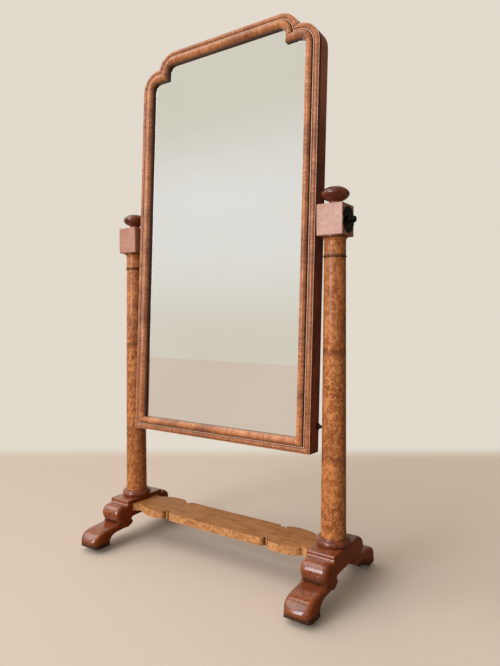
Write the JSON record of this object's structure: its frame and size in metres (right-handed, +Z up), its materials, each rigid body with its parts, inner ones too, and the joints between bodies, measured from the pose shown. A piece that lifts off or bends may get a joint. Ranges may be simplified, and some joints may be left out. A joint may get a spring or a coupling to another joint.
{
  "type": "cheval mirror",
  "caption": "Cheval dressing mirror: an eared, bead-moulded frame tilts between turned columns on scroll-legged sledge feet, with a shaped stretcher and concealed castors.",
  "frame": {"origin": "on the floor, midway between the columns and between the front and rear toes", "axes": "+Z up, +X to the viewer's right when facing the plate, the plate faces -Y"},
  "size_m": [0.9138, 0.4708, 1.6945],
  "materials": {
    "column_maple": "honey-orange burr maple with dark flecks, French polished",
    "block_maple": "plain-grained maple faces, French polished",
    "turned_walnut": "red-brown stained and turned, high gloss",
    "leg_walnut": "red-brown stained, high gloss",
    "stretcher_maple": "long-grained top with burr-veneered edge, satin polish",
    "moulding_maple": "cross-grained bead moulding, gloss polish",
    "case_walnut": "dark stained sides, satin polish",
    "silvered_glass": "silvered plate, clear",
    "back_pine": "aged pine, unpolished",
    "dowel_beech": "plain beech",
    "dark_bronze": "dark patinated, half gloss",
    "pivot_brass": "aged, dull",
    "stud_ebony": "ebonised, gloss",
    "screw_steel": "dull, slotted",
    "castor_iron": "blackened",
    "castor_wheel_brass": "dark worn"
  },
  "bodies": {
    "stand": {"left_column": "column_maple", "right_column": "column_maple", "left_collar": "turned_walnut", "right_collar": "turned_walnut", "left_pivot_block": "block_maple", "right_pivot_block": "block_maple", "left_finial": "turned_walnut", "right_finial": "turned_walnut", "left_front_leg": "leg_walnut", "right_front_leg": "leg_walnut", "left_rear_leg": "leg_walnut", "right_rear_leg": "leg_walnut", "left_leg_dowels": "dowel_beech", "right_leg_dowels": "dowel_beech", "left_rose": "dark_bronze", "right_rose": "dark_bronze", "left_pivot_spacer": "pivot_brass", "right_pivot_spacer": "pivot_brass", "stretcher": "stretcher_maple", "castor_screws": "screw_steel", "left_front_castor_plate": "castor_iron", "left_rear_castor_plate": "castor_iron", "right_front_castor_plate": "castor_iron", "right_rear_castor_plate": "castor_iron"},
    "mirror": {"left_stile_moulding": "moulding_maple", "right_stile_moulding": "moulding_maple", "left_carcass_side": "case_walnut", "right_carcass_side": "case_walnut", "left_nut_plate": "pivot_brass", "right_nut_plate": "pivot_brass", "left_side_stud": "stud_ebony", "right_side_stud": "stud_ebony", "head_moulding": "moulding_maple", "foot_moulding": "moulding_maple", "carcass_head": "case_walnut", "carcass_foot": "case_walnut", "mirror_plate": "silvered_glass", "back_panel": "back_pine", "back_screws": "screw_steel", "glazing_blocks": "back_pine", "nut_plate_screws": "screw_steel"},
    "left_screw": {"left_thumbscrew": "dark_bronze", "left_knob": "dark_bronze"},
    "right_screw": {"right_thumbscrew": "dark_bronze", "right_knob": "dark_bronze"},
    "left_front_castor": {"left_front_castor_fork": "castor_iron", "left_front_castor_axle": "castor_iron"},
    "left_front_wheel": {"left_front_castor_wheel": "castor_wheel_brass"},
    "left_rear_castor": {"left_rear_castor_fork": "castor_iron", "left_rear_castor_axle": "castor_iron"},
    "left_rear_wheel": {"left_rear_castor_wheel": "castor_wheel_brass"},
    "right_front_castor": {"right_front_castor_fork": "castor_iron", "right_front_castor_axle": "castor_iron"},
    "right_front_wheel": {"right_front_castor_wheel": "castor_wheel_brass"},
    "right_rear_castor": {"right_rear_castor_fork": "castor_iron", "right_rear_castor_axle": "castor_iron"},
    "right_rear_wheel": {"right_rear_castor_wheel": "castor_wheel_brass"}
  },
  "joints": [
    {"name": "mirror_tilt", "type": "hinge", "parent": "stand", "child": "mirror", "pos_m": [0, 0, 1.063], "axis": [-1, 0, 0], "range_deg": [-38, 42]},
    {"name": "left_screw_turn", "type": "hinge", "parent": "stand", "child": "left_screw", "pos_m": [-0.4345, 0, 1.063], "axis": [-1, 0, 0], "range_deg": [0, 270]},
    {"name": "right_screw_turn", "type": "hinge", "parent": "stand", "child": "right_screw", "pos_m": [0.4345, 0, 1.063], "axis": [1, 0, 0], "range_deg": [0, 270]},
    {"name": "left_front_swivel", "type": "hinge", "parent": "stand", "child": "left_front_castor", "pos_m": [-0.395, -0.196, 0.034], "axis": [0, 0, 1], "continuous": true},
    {"name": "left_front_roll", "type": "hinge", "parent": "left_front_castor", "child": "left_front_wheel", "pos_m": [-0.395, -0.188, 0.014], "axis": [1, 0, 0], "continuous": true},
    {"name": "left_rear_swivel", "type": "hinge", "parent": "stand", "child": "left_rear_castor", "pos_m": [-0.395, 0.196, 0.034], "axis": [0, 0, 1], "continuous": true},
    {"name": "left_rear_roll", "type": "hinge", "parent": "left_rear_castor", "child": "left_rear_wheel", "pos_m": [-0.395, 0.188, 0.014], "axis": [1, 0, 0], "continuous": true},
    {"name": "right_front_swivel", "type": "hinge", "parent": "stand", "child": "right_front_castor", "pos_m": [0.395, -0.196, 0.034], "axis": [0, 0, 1], "continuous": true},
    {"name": "right_front_roll", "type": "hinge", "parent": "right_front_castor", "child": "right_front_wheel", "pos_m": [0.395, -0.188, 0.014], "axis": [1, 0, 0], "continuous": true},
    {"name": "right_rear_swivel", "type": "hinge", "parent": "stand", "child": "right_rear_castor", "pos_m": [0.395, 0.196, 0.034], "axis": [0, 0, 1], "continuous": true},
    {"name": "right_rear_roll", "type": "hinge", "parent": "right_rear_castor", "child": "right_rear_wheel", "pos_m": [0.395, 0.188, 0.014], "axis": [1, 0, 0], "continuous": true}
  ]
}
